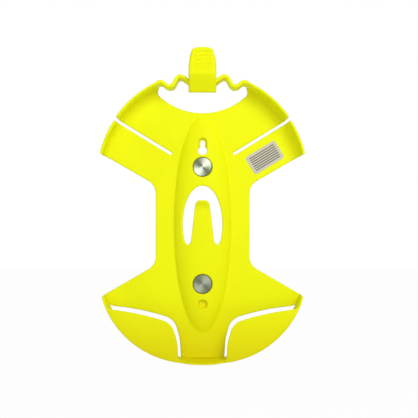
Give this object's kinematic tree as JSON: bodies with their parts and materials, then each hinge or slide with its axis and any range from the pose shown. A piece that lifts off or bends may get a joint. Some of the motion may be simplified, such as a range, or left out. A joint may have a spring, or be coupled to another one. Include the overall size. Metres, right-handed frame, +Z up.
{
  "type": "magnetic hard hat holder",
  "caption": "Wall holder for a cap-style hard hat: slotted plate, two magnets, peak pockets, side arms, hook and a sprung thumb latch.",
  "frame": {"origin": "centre of the upper magnet's pole face, where it meets the steel wall", "axes": "+Z up along the holder's length, +Y into the wall, +X to the right as seen from the front; the front faces -Y"},
  "size_m": [0.2074, 0.036, 0.3192],
  "materials": {
    "moulding": "fluorescent yellow moulded polypropylene, soft gloss",
    "label": "blank write-on label, satin film",
    "turned_steel": "faced on a lathe, circular brushing",
    "magnet_plating": "nickel plated magnet",
    "brass_spacer": "turned brass",
    "spring_steel": "blued spring steel"
  },
  "bodies": {
    "holder": {"back_plate": "moulding", "left_wing_rail": "moulding", "right_wing_rail": "moulding", "magnet_boss": "moulding", "peak_pocket": "moulding", "left_wave_spring": "moulding", "right_wave_spring": "moulding", "upper_magnet_cup": "turned_steel", "upper_magnet": "magnet_plating", "upper_magnet_spacer": "brass_spacer", "upper_retaining_ring": "spring_steel", "lower_magnet_cup": "turned_steel", "lower_magnet": "magnet_plating", "lower_magnet_spacer": "brass_spacer", "lower_retaining_ring": "spring_steel"},
    "latch": {"thumb_latch": "moulding"},
    "hook": {"accessory_hook": "moulding"},
    "left_arm": {"left_side_arm": "moulding"},
    "right_arm": {"right_side_arm": "moulding", "name_label": "label"}
  },
  "joints": [
    {"name": "latch_lift", "type": "slide", "parent": "holder", "child": "latch", "axis": [0, 0, 1], "range_m": [0, 0.008], "stiffness_N_per_m": 900, "deforming": ["left_wave_spring", "right_wave_spring"]},
    {"name": "hook_flex", "type": "hinge", "parent": "holder", "child": "hook", "pos_m": [0, -0.0153, -0.07915], "axis": [1, 0, 0], "range_deg": [-4, 10], "stiffness_Nm_per_rad": 3},
    {"name": "left_arm_flex", "type": "hinge", "parent": "holder", "child": "left_arm", "pos_m": [-0.0378, -0.0018, 0.01733], "axis": [0.521, 0, 0.8536], "range_deg": [0, 6], "stiffness_Nm_per_rad": 9},
    {"name": "right_arm_flex", "type": "hinge", "parent": "holder", "child": "right_arm", "pos_m": [0.0378, -0.0018, 0.01733], "axis": [0.521, 0, -0.8536], "range_deg": [0, 6], "stiffness_Nm_per_rad": 9}
  ]
}
